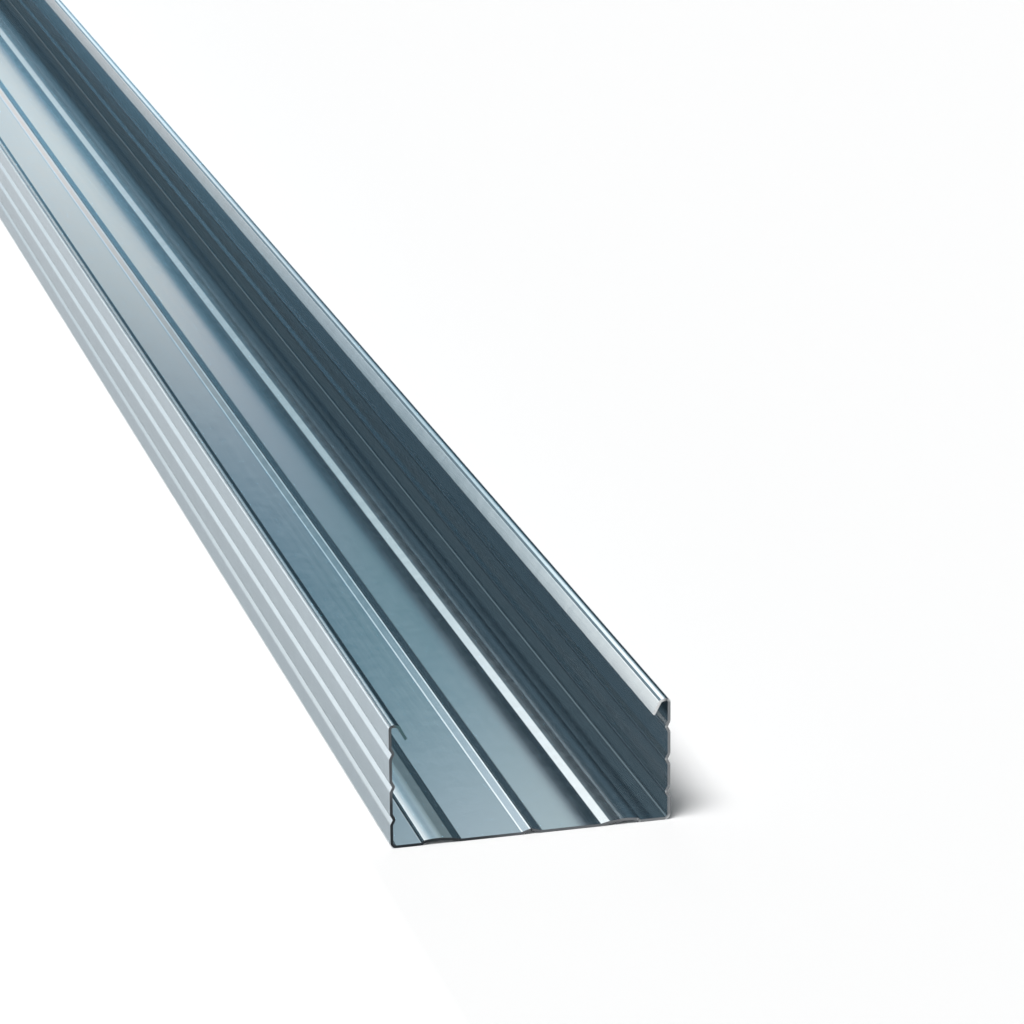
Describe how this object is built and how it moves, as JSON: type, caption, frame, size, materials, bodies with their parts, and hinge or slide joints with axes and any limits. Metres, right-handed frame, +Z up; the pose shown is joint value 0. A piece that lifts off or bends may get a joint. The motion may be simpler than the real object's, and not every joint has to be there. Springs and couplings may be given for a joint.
{
  "type": "ceiling furring channel",
  "caption": "Roll-formed ceiling furring channel of thin galvanised steel: an open trough with a beaded web, grooved flanges and inward-curled lips that hanger clips hook under.",
  "frame": {"origin": "middle of the web's underside, at half length, on the floor that the channel lies on", "axes": "+X across the web, +Y along the length, +Z up out of the open side"},
  "size_m": [0.06, 3, 0.027],
  "materials": {
    "galvanised_steel": "smooth hot-dip zinc coating with a soft satin reflection"
  },
  "bodies": {
    "root": {"furring_channel": "galvanised_steel"}
  },
  "joints": []
}
